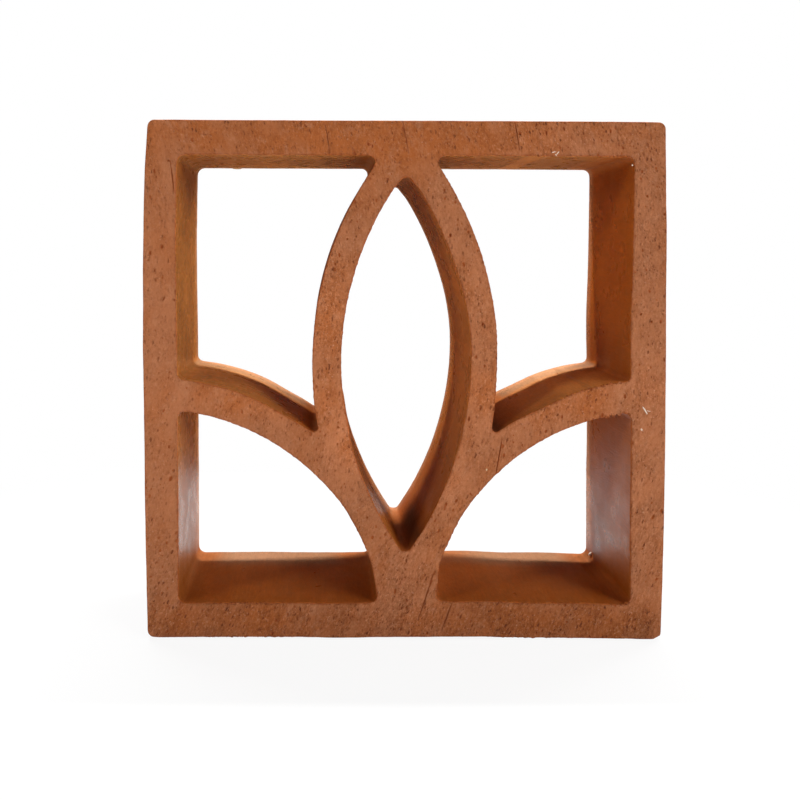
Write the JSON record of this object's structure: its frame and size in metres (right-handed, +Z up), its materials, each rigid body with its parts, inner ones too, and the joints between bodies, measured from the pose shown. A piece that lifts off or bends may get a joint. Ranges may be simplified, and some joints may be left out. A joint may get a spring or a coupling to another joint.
{
  "type": "breeze block",
  "caption": "Square fired-clay screen block, pierced right through by a pointed petal opening between curved ribs that rise from quarter-round arches inside a flat-bedded frame.",
  "frame": {"origin": "middle of the bottom bed, halfway between the front and back faces", "axes": "+Z up through the block's height, +X across its width, +Y from the front face to the back face, along the depth"},
  "size_m": [0.202, 0.06, 0.2],
  "materials": {
    "terracotta": "matte, unglazed, wire-cut faces with fine pits; smoother extruded walls in the openings"
  },
  "bodies": {
    "root": {"breeze_block": "terracotta"}
  },
  "joints": []
}
